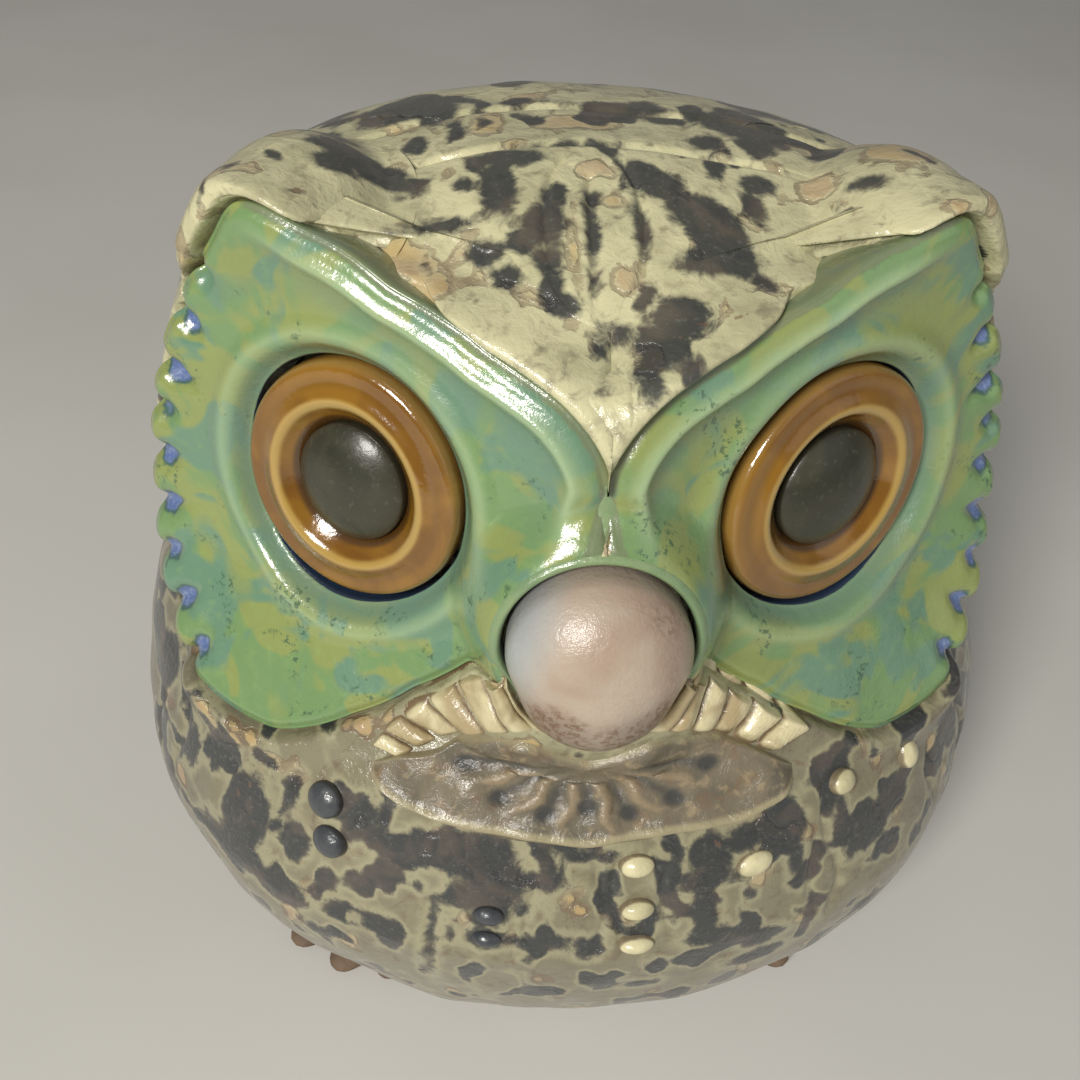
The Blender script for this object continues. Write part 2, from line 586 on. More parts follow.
def lip_strip(side):
    """The crown's rolled edge round one disc, as rows from the open body in to the groove."""
    kept = np.argsort((RIM_TURN - 20) % 360)
    kept = kept[RIM_MEETS[kept] > 0.03]
    u, v = (RIM_UV[kept] + 2 * RIM_NORMAL[kept]).T
    kept = kept[body_gauge(from_face(u, v, RIM_W[kept] - LIP_DEPTH, 1)) < 1]
    edge = RIM_W[kept]
    normal = RIM_NORMAL[kept]
    rim = from_face(RIM_UV[kept, 0], RIM_UV[kept, 1], edge, 1)
    outwards = normal[:, :1] * FACE_U + normal[:, 1:] * FACE_V
    inwards = -outwards[:, 0]
    room = np.where(inwards > 0.05, (rim[:, 0] - 0.05) / np.maximum(inwards, 0.05), 99.0)
    bridge = smooth(room, 4.5, 2.6) * smooth(RIM_UV[kept, 1], 9.4, 7.8)
    free = np.minimum(room, reach(rim - LIP_DEPTH * FACE_N, outwards, 0, 9) - 0.3)
    rows = []
    for out, lift in LIP_SECTION:
        limited = np.minimum(out, free)
        u, v = (RIM_UV[kept] + normal * limited[:, None]).T
        base = edge - LIP_DEPTH
        way = np.broadcast_to(FACE_N, rim.shape)
        w = base + reach(from_face(u, v, base, 1), way, 0, 2 * LIP_DEPTH) - LIP_SINK
        w = settled(w, limited, kept) + lift - LIP_ENDS * (1 - RIM_MEETS[kept])
        w = np.where(w < edge - 4, w - 0.6 * smooth(out, 5.0, 1.0), w)
        row = from_face(u, v, w, 1)
        row[:, 0] = np.where(out >= room, 0.0, np.maximum(row[:, 0], 0.0))
        rows.append(row)
    points = np.array(rows)
    hand = ripple(points, 9, 21) * 0.08
    points = swollen(points + FACE_N * hand[..., None]) - FACE_N * (2.4 * bridge)[None, :, None]
    points[..., 0] = np.maximum(points[..., 0], 0.0)
    return points * np.array([side, 1, 1])


# ---------------------------------------------------------------- materials
GLAZE_IOR = 1.5
NOISE_PER_LUMP = 1.6  # size of a noise cell for each mm of lump


def linear(red, green, blue):
    """Linear colour from 0-255 screen values."""
    out = []
    for value in (red, green, blue):
        v = value / 255
        out.append(v / 12.92 if v <= 0.04045 else ((v + 0.055) / 1.055) ** 2.4)
    return (*out, 1.0)


class Finish:
    """A node material, laid up from a base colour in layers."""

    def __init__(self, name, roughness, coat=0.0, coat_roughness=0.06):
        self.material = bpy.data.materials.new(name)
        self.material.use_nodes = True
        self.nodes = self.material.node_tree.nodes
        self.links = self.material.node_tree.links
        self.shader = self.nodes["Principled BSDF"]
        self.shader.inputs["Roughness"].default_value = roughness
        self.shader.inputs["IOR"].default_value = GLAZE_IOR
        self.shader.inputs["Coat Weight"].default_value = coat
        self.shader.inputs["Coat Roughness"].default_value = coat_roughness
        self.place = self.nodes.new("ShaderNodeTexCoord").outputs["Object"]
        self.base = None

    def feed(self, socket, value):
        """Links a socket to another, or sets its value."""
        if isinstance(value, bpy.types.NodeSocket):
            self.links.new(value, socket)
        else:
            socket.default_value = value

    def value(self, name):
        """A value that the mesh holds at each vertex."""
        node = self.nodes.new("ShaderNodeAttribute")
        node.attribute_name = name
        return node.outputs["Fac"]

    def noise(self, size, detail, rough, twist=0.0, offset=0.0):
        """Noise from 0 to 1 whose lumps are about size mm across."""
        shift = self.nodes.new("ShaderNodeVectorMath")
        shift.operation = "ADD"
        self.links.new(self.place, shift.inputs[0])
        shift.inputs[1].default_value = (offset, offset * 0.7, -offset)
        node = self.nodes.new("ShaderNodeTexNoise")
        self.links.new(shift.outputs[0], node.inputs["Vector"])
        node.inputs["Scale"].default_value = 1 / (size * MM * NOISE_PER_LUMP)
        node.inputs["Detail"].default_value = detail
        node.inputs["Roughness"].default_value = rough
        node.inputs["Distortion"].default_value = twist
        return node.outputs["Fac"]

    def math(self, operation, a, b):
        node = self.nodes.new("ShaderNodeMath")
        node.operation = operation
        self.feed(node.inputs[0], a)
        self.feed(node.inputs[1], b)
        return node.outputs[0]

    def plus(self, a, b):
        return self.math("ADD", a, b)

    def times(self, a, b):
        return self.math("MULTIPLY", a, b)

    def shaken(self, value, noise, amount):
        """A value with noise added to it, amount from the noise's lowest to its highest."""
        return self.plus(value, self.times(self.math("SUBTRACT", noise, 0.5), amount))

    def step(self, value, low, high):
        """0 below low, 1 above high, soft between (either order)."""
        node = self.nodes.new("ShaderNodeMapRange")
        node.interpolation_type = "SMOOTHSTEP"
        self.feed(node.inputs["Value"], value)
        falls = low > high
        node.inputs["From Min"].default_value = min(low, high)
        node.inputs["From Max"].default_value = max(low, high)
        node.inputs["To Min"].default_value = 1.0 if falls else 0.0
        node.inputs["To Max"].default_value = 0.0 if falls else 1.0
        return node.outputs["Result"]

    def mix(self, share, a, b):
        """Colour a where the share is 0 and b where it is 1."""
        node = self.nodes.new("ShaderNodeMix")
        node.data_type = "RGBA"
        self.feed(node.inputs["Factor"], share)
        self.feed(node.inputs["A"], a)
        self.feed(node.inputs["B"], b)
        return node.outputs["Result"]

    def ground(self, a, b, noise, low, high):
        """Starts with a colour a that turns to b where the noise is high."""
        self.base = self.mix(self.step(noise, low, high), a, b)

    def lay(self, colour, mask, share=None):
        """Lays a colour over the base where the mask is, as strongly as the share."""
        self.base = self.mix(mask if share is None else self.times(mask, share), self.base, colour)

    def colour(self):
        self.feed(self.shader.inputs["Base Color"], self.base)
        return self.material

    def done(self, rough, noise, spread, height, depth_mm):
        """Sets the roughness and a fine relief, and gives the finished material."""
        self.feed(self.shader.inputs["Roughness"], self.plus(rough, self.times(noise, spread)))
        node = self.nodes.new("ShaderNodeBump")
        node.inputs["Distance"].default_value = depth_mm * MM
        node.inputs["Strength"].default_value = 1.0
        self.feed(node.inputs["Height"], height)
        self.links.new(node.outputs["Normal"], self.shader.inputs["Normal"])
        self.links.new(node.outputs["Normal"], self.shader.inputs["Coat Normal"])
        return self.colour()


CREAM = linear(214, 209, 168)
CHARCOAL = linear(46, 50, 54)
CHARCOAL_WARM = linear(78, 70, 66)
BROWN_LINE = linear(120, 88, 66)


def body_finish(name):
    """Cream glaze with charcoal patches and bare spots, greyer on the chest and the flanks."""
    f = Finish(name, 0.3, coat=0.55, coat_roughness=0.09)
    broad = f.noise(9.0, 4, 0.6, 0.6)
    fine = f.noise(1.5, 5, 0.62, 0.4, offset=0.3)
    grain = f.noise(0.35, 3, 0.6, offset=0.8)
    streak = f.noise(2.2, 4, 0.65, 1.2, offset=4.4)
    height = f.value("height")
    grey = f.step(height, NECK + 17, NECK + 4)
    f.ground(CREAM, linear(184, 180, 142), broad, 0.40, 0.64)
    f.lay(linear(152, 145, 116), f.step(fine, 0.52, 0.72))
    f.lay(linear(110, 103, 83), grey, 0.82)
    f.lay(linear(112, 98, 78), f.step(streak, 0.5, 0.68), f.plus(f.times(grey, 0.4), 0.3))
    f.lay(linear(92, 86, 70), f.value("flank"), 0.6)
    f.lay(linear(126, 120, 106), f.step(height, NECK - 8, NECK - 30), 0.45)
    bare = f.shaken(f.value("bare"), fine, 2.6)
    outline = f.times(f.step(bare, -0.45, -0.15), f.step(bare, 0.3, 0.05))
    tan = f.mix(f.step(broad, 0.45, 0.6), linear(188, 156, 118), linear(205, 172, 112))
    f.lay(tan, f.step(bare, 0.0, 0.6), 0.62)
    f.lay(BROWN_LINE, outline, 0.5)
    dark = f.shaken(f.value("dark"), fine, 2.6)
    f.lay(CREAM, f.times(f.step(dark, -1.5, -0.3), f.step(dark, 0.1, -0.3)), 0.28)
    ink = f.mix(f.step(f.noise(4.5, 3, 0.6, 0.4, offset=1.7), 0.5, 0.66), CHARCOAL, CHARCOAL_WARM)
    ink = f.mix(f.step(grain, 0.55, 0.75), ink, linear(86, 88, 86))
    f.lay(ink, f.step(dark, -0.6, 0.35), 0.93)
    dots = f.step(f.noise(1.1, 2, 0.5, offset=2.6), 0.70, 0.74)
    f.lay(BROWN_LINE, f.times(dots, f.step(broad, 0.45, 0.6)), 0.6)
    relief = f.plus(f.times(fine, 0.8), f.times(grain, 0.18))
    return f.done(0.22, fine, 0.24, f.math("SUBTRACT", relief, f.times(outline, 0.25)), 0.32)


def disc_finish():
    """Mottled green glaze, paler on ridges, blue where it pools, with dark green speckle."""
    f = Finish("green_glaze", 0.26, coat=0.7, coat_roughness=0.05)
    fine = f.noise(0.9, 4, 0.6)
    grain = f.noise(0.3, 3, 0.6, offset=0.4)
    f.ground(linear(116, 148, 96), linear(140, 152, 88), f.noise(7.0, 2, 0.5, 1.2), 0.47, 0.55)
    f.lay(linear(104, 140, 114), f.step(f.noise(6.0, 2, 0.5, 1.0, offset=0.9), 0.54, 0.62))
    f.lay(linear(140, 170, 96), f.step(fine, 0.5, 0.8), 0.35)
    f.lay(linear(168, 190, 146), f.value("ridge"), 0.7)
    f.lay(linear(104, 134, 116), f.value("dip"), 0.75)
    cluster = f.step(f.noise(4.0, 3, 0.6, 0.8, offset=3.3), 0.56, 0.66)
    speck = f.step(f.noise(0.42, 3, 0.7, offset=5.0), 0.53, 0.60)
    f.lay(linear(62, 92, 70), f.times(cluster, speck), 0.78)
    f.lay(linear(118, 124, 96), f.step(f.shaken(f.value("groove"), fine, 0.9), 0.45, 0.8), 0.75)
    pool = f.shaken(f.value("pool"), fine, 0.7)
    f.lay(linear(70, 100, 92), f.step(pool, 0.22, 0.42))
    blue = f.mix(f.step(grain, 0.45, 0.7), linear(92, 112, 158), linear(126, 142, 176))
    f.lay(blue, f.step(pool, 0.40, 0.62))
    f.lay(linear(36, 52, 74), f.step(f.shaken(f.value("socket"), fine, 0.8), 0.5, 0.75))
    return f.done(0.2, fine, 0.2, f.plus(f.times(fine, 0.6), f.times(grain, 0.2)), 0.14)


def amber_finish():
    """Honey glaze that is dark where it is thick and pale on the crests."""
    f = Finish("amber_glaze", 0.16, coat=0.9, coat_roughness=0.03)
    flow = f.noise(5.0, 3, 0.5, 0.8)
    fine = f.noise(0.6, 4, 0.6)
    f.ground(linear(118, 78, 14), linear(142, 100, 22), flow, 0.35, 0.65)
    f.lay(linear(176, 144, 72), f.step(f.shaken(f.value("crest"), flow, 0.3), 0.35, 0.95))
    f.lay(linear(70, 46, 20), f.step(f.shaken(f.value("deep"), flow, 0.35), 0.2, 0.95), 0.9)
    f.lay(linear(160, 130, 76), f.value("edge"), 0.4)
    f.lay(linear(100, 62, 24), f.step(fine, 0.62, 0.8), 0.12)
    return f.done(0.1, fine, 0.14, fine, 0.05)


def pupil_finish():
    """Satin, nearly black olive glaze with a metallic bloom."""
    f = Finish("pupil_glaze", 0.34, coat=0.25, coat_roughness=0.12)
    fine = f.noise(0.5, 4, 0.65)
    f.ground(linear(46, 46, 34), linear(60, 59, 43), f.noise(4.0, 2, 0.5, 0.5), 0.35, 0.65)
    f.lay(linear(78, 78, 64), f.step(fine, 0.55, 0.75))
    f.lay(linear(44, 40, 34), f.value("edge"), 0.6)
    return f.done(0.26, fine, 0.2, fine, 0.05)


def beak_finish():
    """Pinkish off-white glaze, brown-speckled towards the point."""
    f = Finish("beak_glaze", 0.34, coat=0.4, coat_roughness=0.12)
    fine = f.noise(0.5, 4, 0.7)
    grain = f.noise(0.25, 3, 0.6, offset=0.7)
    broad = f.noise(5.0, 3, 0.5, 0.4)
    low = f.value("low")
    f.ground(linear(184, 168, 150), linear(172, 150, 132), broad, 0.4, 0.62)
    f.lay(linear(178, 150, 134), f.step(fine, 0.5, 0.7), 0.4)
    f.lay(linear(124, 108, 96), f.step(low, 0.1, 0.9), 0.5)
    specks = f.times(f.step(f.shaken(low, broad, 2.2), 0.1, 0.8), f.step(fine, 0.44, 0.60))
    f.lay(linear(108, 74, 42), specks, 0.75)
    f.lay(linear(160, 178, 186), f.value("cool"), 0.6)
    f.lay(linear(108, 102, 98), f.value("edge"), 0.6)
    return f.done(0.26, fine, 0.24, f.plus(fine, f.times(grain, 0.5)), 0.09)


def relief_finish(name, high, low, dark, gloss=0.5):
    """Glaze on small relief: pale on top, darker in the hollows. Colours are 0-255 values."""
    f = Finish(name, 0.34, coat=gloss, coat_roughness=0.1)
    fine = f.noise(0.9, 4, 0.62, 0.3)
    f.ground(linear(*high), linear(*low), f.noise(4.0, 3, 0.5, 0.5), 0.42, 0.62)
    f.lay(linear(*low), f.step(fine, 0.5, 0.75), 0.5)
    hollow = f.shaken(f.math("SUBTRACT", 1.0, f.value("top")), fine, 0.6)
    f.lay(linear(*dark), f.step(hollow, 0.35, 0.95), 0.9)
    return f.done(0.26, fine, 0.22, fine, 0.16)


def bib_finish():
    """Grey-brown glaze with dark ink in the drops and a cream hem."""
    f = Finish("bib_glaze", 0.36, coat=0.45, coat_roughness=0.1)
    fine = f.noise(1.0, 5, 0.64, 0.4)
    f.ground(linear(122, 112, 92), linear(106, 99, 83), f.noise(4.0, 3, 0.55, 0.6), 0.4, 0.6)
    f.lay(linear(158, 142, 112), f.step(fine, 0.52, 0.68), 0.8)
    f.lay(linear(122, 94, 68), f.step(f.noise(1.6, 3, 0.6, offset=2.2), 0.56, 0.64), 0.35)
    f.lay(linear(150, 132, 104), f.step(f.shaken(f.value("ribs"), fine, 0.8), 0.3, 0.9), 0.7)
    f.lay(linear(168, 158, 124), f.step(f.value("hem"), 0.2, 0.8), 0.85)
    f.lay(linear(58, 60, 60), f.step(f.shaken(f.value("ink"), fine, 0.5), 0.22, 0.8), 0.9)
    return f.done(0.28, fine, 0.22, fine, 0.28)


def clay_finish():
    """Unglazed brown stoneware."""
    f = Finish("bare_clay", 0.7)
    fine = f.noise(0.6, 5, 0.7)
    f.ground(linear(118, 98, 78), linear(104, 86, 70), f.noise(4.0, 3, 0.5), 0.4, 0.6)
    f.lay(linear(98, 74, 58), f.step(fine, 0.55, 0.8), 0.6)
    return f.done(0.55, fine, 0.3, fine, 0.18)


CROWN_FINISH = body_finish("crown_glaze")
TORSO_FINISH = body_finish("torso_glaze")
DISC_FINISH = disc_finish()
AMBER_FINISH = amber_finish()
PUPIL_FINISH = pupil_finish()
BEAK_FINISH = beak_finish()
BIB_FINISH = bib_finish()
FAN_FINISH = relief_finish("fan_glaze", (214, 204, 164), (172, 154, 116), (110, 88, 62))
PELLET_FINISH = relief_finish("pellet_glaze", (222, 214, 172), (190, 182, 144), (112, 98, 78))
DARK_PELLET_FINISH = relief_finish("dark_pellet_glaze", (66, 70, 74), (52, 56, 62), (44, 42, 42))
COLLAR_FINISH = relief_finish("collar_glaze", (134, 156, 112), (118, 144, 104), (38, 52, 66), 0.7)
CLAY_FINISH = clay_finish()

# ---------------------------------------------------------------- body: head and torso
SIDES = {1: "left", -1: "right"}  # the owl's own left is on +X
TURNS = 560
HEAD_ROWS = 210
TORSO_ROWS = 110
FRONT_CROWDING = 0.42  # how much closer the columns stand at the front
POLE_GAP = 0.002  # radians left to the cap on top of the head
VENT_R = 4.0
# bottom rows from inside the vent to the foot ring: share of the way out, height off the ground
BASE_ROWS = ((0.0, 2.5), (0.0, 0.4), (0.02, 0.0), (0.4, 0.0), (0.8, 0.0), (0.97, 0.0), (0.992, 0.15))


def column_directions():
    """Horizontal directions of the body's columns, crowded towards the front."""
    t = around(TURNS)
    angle = t + FRONT_CROWDING * np.sin(t)
    return np.stack([-np.sin(angle), np.cos(angle), np.zeros(TURNS)], -1)


def body_rows(low_tilt, high_tilt, rows, ways):
    """Points of the body between two tilts (radians) per column."""
    share = np.linspace(0, 1, rows)[:, None]
    tilt = low_tilt[None] * (1 - share) + high_tilt * share
    way = ways[None] * np.cos(tilt)[..., None] + UP * np.sin(tilt)[..., None]
    return CORE + way * reach(CORE, way, *CORE_REACH)[..., None]


def level_tilt(ways, height):
    """Tilt at which the body's surface crosses a level, per column."""
    base = np.array([CORE[0], CORE[1], height])
    return np.arctan2(height - CORE[2], reach(base, ways, *AXIS_REACH))


WAYS = column_directions()
SEAM_TILT = level_tilt(WAYS, NECK)
GROUND_TILT = level_tilt(WAYS, GROUND + 0.02)


def head_piece():
    """The head with its crown, and the rolled lips over both discs."""
    points = body_surface(body_rows(SEAM_TILT, math.pi / 2 - POLE_GAP, HEAD_ROWS, WAYS))
    head = Shape()
    head.grid(points, closed=True, cap_last=True, **body_values(points))
    for side in SIDES:
        lip = lip_strip(side)
        head.grid(lip, flip=side < 0, **body_values(lip))
    head.piece("head", "head_shell", "crown_glaze", CROWN_FINISH)


def torso_piece():
    """The torso down to its flat foot ring, with the vent in the middle."""
    points = body_surface(body_rows(GROUND_TILT, SEAM_TILT, TORSO_ROWS, WAYS))
    points[..., 2] = np.maximum(points[..., 2], GROUND)
    middle = np.array([0.0, BODY_Y, GROUND])
    flat = (points[0] - middle) * np.array([1, 1, 0])
    vent = flat / np.linalg.norm(flat, axis=1)[:, None] * VENT_R
    base = [middle + vent * (1 - share) + flat * share + UP * lift for share, lift in BASE_ROWS]
    points = np.concatenate([np.array(base), points[1:]])
    torso = Shape()
    torso.grid(points, closed=True, cap_first=True, **body_values(points))
    torso.piece("torso", "torso_shell", "body_glaze", TORSO_FINISH)


head_piece()
torso_piece()

# ---------------------------------------------------------------- facial discs
BANK_R = 16.2  # radius of the raised bank round an eye
BROW_RIDGE = 2.7  # distance of the ridge from the brow's rim
BROW_CHANNEL = 5.2
# rows of a disc from its socket to its rim, as shares of the way
DISC_ROW_SHARES = np.concatenate([np.linspace(0, 0.12, 9)[:-1], np.linspace(0.12, 1, 72)])
SOCKET_SINKS = (4.0, 2.4, 1.2, 0.5)  # depths of the rows down the socket's wall
# back edge of a disc: how far inside the rim, how far behind it
SKIRT = ((-0.12, 0.35), (-0.1, 0.9), (0.1, 2.0), (0.5, 4.0), (1.4, 7.0), (3.2, 11.0), (6.5, 15.0))


def notch_relief(u, v):
    """Depth of the scallop notches along the temple, and the blue glaze pooled in them."""
    depth, pool = np.zeros_like(u), np.zeros_like(u)
    for degrees, length, blue in NOTCHES:
        a = math.radians(degrees)
        along = u * math.cos(a) + v * math.sin(a)
        aside = v * math.cos(a) - u * math.sin(a)
        back = rim_radius(np.array([float(degrees)]))[0] - along
        width = 0.5 + 0.85 * bump(back - 1.8, 1.5)
        inside = smooth(back, length * 0.95, length * 0.4) * (along > 0)
        dent = bump(aside + 0.12 * np.clip(back, 0, 6), width) * inside
        depth = depth + (0.75 + 0.35 * blue) * dent
        pool = np.maximum(pool, dent * blue * (0.35 + 0.65 * bump(back - 1.6, 1.7)))
    return depth, pool


def disc_relief(u, v, out, oval):
    """Height of a disc's relief above its bend, and its glaze values."""
    radius = np.hypot(u / oval, v)
    turn = np.degrees(np.arctan2(v, u))
    inner = -out
    bank = bump(radius - BANK_R - 0.4 * np.sin(np.radians(turn) * 2 + 1), 1.5)
    fall = smooth(radius, 15.4, 13.4)
    brow = smooth(turn, 62, 84) * smooth(turn, 178, 160)
    ridge = bump(inner - BROW_RIDGE, 0.95) * brow
    channel = bump(inner - BROW_CHANNEL, 1.6) * brow
    notch, pool = notch_relief(u, v)
    lobes = smooth(inner, 7.5, 2.5) * smooth(turn, -66, -58) * smooth(turn, 58, 50)
    relief = 0.75 * bank - 1.1 * fall + 0.95 * ridge - 0.15 * channel - notch
    relief = relief + 0.35 * lobes * (1 - notch_shape(turn)) - 0.95 * bump(inner, 0.75)
    relief = relief + 0.10 * ripple(np.stack([u, v, radius * 0], -1), 6, 31)
    return relief, {
        "ridge": np.clip(0.6 * bump(radius - BANK_R, 0.8) + 1.1 * ridge, 0, 1),
        "dip": np.clip(channel * 0.5 + bump(radius - 14.2, 1.0), 0, 1),
        "pool": pool,
        "groove": smooth(inner, 1.1, 0.2) * smooth(turn, 60, 75),
        "socket": smooth(radius, 13.75, 13.5),
    }


def disc_piece(side):
    """One facial disc from its eye socket out to the rim and back down its edge."""
    turn = np.radians(RIM_TURN)
    socket = np.stack([np.cos(turn) * EYE_OVAL[side], np.sin(turn)], -1) * SOCKET_R
    shares = DISC_ROW_SHARES[:, None, None]
    uv = socket[None] * (1 - shares) + RIM_UV[None] * shares
    u, v = uv[..., 0], uv[..., 1]
    out = np.minimum(rim_distance(u, v)[0], 0)
    relief, values = disc_relief(u, v, out, EYE_OVAL[side])
    if side < 0:
        relief = relief + 0.12 * ripple(np.stack([u, v, u * 0], -1), 7, 33)
    w = disc_bend(v) + relief
    wall = [uvw(u[0] * (1 - 0.002 * sink), v[0] * (1 - 0.002 * sink), w[0] - sink) for sink in SOCKET_SINKS]
    skirt = []
    for inward, sink in SKIRT:
        edge = RIM_UV - RIM_NORMAL * inward
        skirt.append(uvw(edge[:, 0], edge[:, 1], w[-1] - sink))
    u, v, w = np.moveaxis(np.concatenate([wall, uvw(u, v, w), skirt]), -1, 0)
    spread = {}
    for key, inner in values.items():
        before = np.full((len(wall), RIM_COUNT), 1.0 if key == "socket" else 0.0)
        after = np.repeat(inner[-1:], len(skirt), 0) * (0.6 if key == "pool" else 1.0)
        spread[key] = np.concatenate([before, inner, after])
    shape = Shape()
    shape.grid(swollen(from_face(u, v, w, side)), closed=True, flip=side < 0, **spread)
    shape.piece("disc_" + SIDES[side], "facial_disc_" + SIDES[side], "disc_glaze", DISC_FINISH)


# ---------------------------------------------------------------- eyes
EYE_COLUMNS = 160
RING_STEPS = 76
# section of an amber ring (radius, height) from the pupil out to its edge and down its side
RING_SECTION = (
    (5.6, -2.6), (6.2, -1.5), (6.75, -0.75), (7.3, -0.35), (7.9, 0.15), (8.5, 0.75), (9.1, 1.05), (9.7, 0.95),
    (10.4, 0.6), (11.1, 0.42), (11.8, 0.45), (12.4, 0.42), (12.85, 0.1), (13.1, -0.5), (13.15, -1.4),
    (13.1, -3.4),
)
PUPIL_STEPS = 26
PUPIL_RISE = 2.1
PUPIL_SINK = 0.3


def revolved(profile, side, wobble):
    """A profile (radius, height) turned about the eye's axis, slightly out of true."""
    turn = around(EYE_COLUMNS)
    rng = np.random.default_rng(40 + side)
    phase = rng.uniform(0, 2 * math.pi, 3)
    shape = sum(wobble / (k + 1) * np.sin((k + 2) * turn + phase[k]) for k in range(3))
    radius = profile[:, :1] * (1 + shape[None])
    height = profile[:, 1:] + radius * 0
    across = radius * np.cos(turn) * EYE_OVAL[side]
    return from_face(across, radius * np.sin(turn), height, side)


def ring_profile():
    """The section of the amber ring in small even steps, with its corners rounded."""
    keys = np.array(RING_SECTION)
    at = np.linspace(0, len(keys) - 1, RING_STEPS)
    kernel = np.array([1, 3, 5, 6, 5, 3, 1], float)
    kernel /= kernel.sum()
    columns = []
    for values in keys.T:
        fine = np.interp(at, range(len(keys)), values)
        columns.append(np.convolve(np.pad(fine, 3, mode="edge"), kernel, "valid"))
    return np.stack(columns, -1)


def pupil_profile():
    """The pupil's dome from its middle out, and down its side into the ring."""
    r = PUPIL_R * np.sin(np.linspace(0, math.pi / 2, PUPIL_STEPS))
    rise = PUPIL_RISE * (1 - np.minimum(r / PUPIL_R, 1) ** 2) ** 0.75 - PUPIL_SINK
    dome = np.stack([np.maximum(r, 0.01), rise], -1)
    return np.concatenate([dome, [(PUPIL_R, -0.9), (PUPIL_R * 0.99, -2.0)]])


def eye_pieces(side):
    """The amber ring and the pupil of one eye."""
    profile = ring_profile()
    r = profile[:, :1]
    deep = smooth(r, 8.0, 6.9) + 0.4 * bump(r - 11.0, 0.9)
    values = {"crest": bump(r - 9.0, 0.75), "deep": deep, "edge": smooth(r, 12.3, 12.9)}
    ring = Shape()
    ring.grid(revolved(profile, side, 0.012), closed=True, flip=side < 0, **values)
    node = "eye_ring_" + SIDES[side]
    ring.piece(node + "_glazed", node, "amber_glaze", AMBER_FINISH)
    profile = pupil_profile()
    edge = smooth(profile[:, :1], 6.0, 6.8)
    pupil = Shape()
    pupil.grid(revolved(profile, side, 0.008), closed=True, flip=side > 0, cap_first=True, edge=edge)
    pupil.piece("pupil_" + SIDES[side] + "_dome", "pupil_" + SIDES[side], "pupil_glaze", PUPIL_FINISH)


for side in SIDES:
    disc_piece(side)
    eye_pieces(side)

# ---------------------------------------------------------------- beak, collar and bridge
BEAK_COLUMNS, BEAK_ROWS = 200, 70
BEAK_RISE = 6.2
# side of the beak inside its socket: share of the outline, how deep
BEAK_SIDE_ROWS = ((1.0, 0.9), (0.99, 2.2), (0.97, 3.8))
COLLAR_SPAN = math.radians(128)  # how far round from the top the collar reaches on each side
COLLAR_COLUMNS = 150
# section of the collar from the socket over its crest: gap to the beak, height, how pale
COLLAR_SECTION = (
    (0.3, -3.6, 0), (0.32, -2.4, 0), (0.4, -1.5, 0.25), (0.6, -1.0, 0.9), (0.85, -0.85, 1),
    (1.15, -0.95, 0.95), (1.5, -1.35, 0.7), (1.9, -2.1, 0.4), (2.4, -3.4, 0.3),
)
# section of the bridge between the discs: aside, height, how pale
BRIDGE_SECTION = (
    (-2.5, -2.8, 0.35), (-2.0, -1.5, 0.35), (-1.1, -1.0, 0.7), (0.0, -0.9, 0.7), (1.1, -1.0, 0.7),
    (2.0, -1.5, 0.35), (2.5, -2.8, 0.35),
)
BRIDGE_TOP, BRIDGE_FOOT, BRIDGE_ROWS = 9.6, 0.5, 40
BRIDGE_WAY = np.array([0.0, -1.0, 0.35]) / np.hypot(1, 0.35)


def section_columns(section):
    """The columns of a section's table, each shaped to stand for a row of points per entry."""
    return np.array(section, float).T[..., None]


def beak_piece():
    """The beak: a dome with a low keel towards its point, sunk into its socket."""
    turn = around(BEAK_COLUMNS)[None]
    share = np.sin(np.linspace(0.002, 1, BEAK_ROWS) * math.pi / 2)[:, None]
    down = np.clip(-np.sin(turn), 0, 1)
    keel = 0.9 * bump(share * np.cos(turn), 0.35) * down * share * (1 - share) * 2.2
    out = BEAK_RISE * (1 - share**2.25) ** 0.6 + keel
    across = share * beak_edge(turn) * np.cos(turn)
    up = share * beak_edge(turn) * np.sin(turn)
    shrink, sink = section_columns(BEAK_SIDE_ROWS)
    out = np.concatenate([out, across[-1:] * 0 - sink])
    across = np.concatenate([across, across[-1:] * shrink])
    up = np.concatenate([up, up[-1:] * shrink])
    share = np.concatenate([share + turn * 0, shrink * 0 + 1 + turn * 0])
    low = smooth(up, -0.5, -5.0) * (0.6 + 0.4 * bump(np.abs(across) - 3.6, 2.4))
    cool = smooth(-across + 0.3 * up, 4.6, 8.8)
    edge = smooth(share, 0.88, 1.0) * smooth(up, 2.0, -6.0) + smooth(share, 0.96, 1.0) * 0.5
    beak = Shape()
    beak.grid(on_beak(across, up, out), closed=True, cap_first=True, low=low, cool=cool, edge=edge)
    beak.piece("beak_dome", "beak", "beak_glaze", BEAK_FINISH)


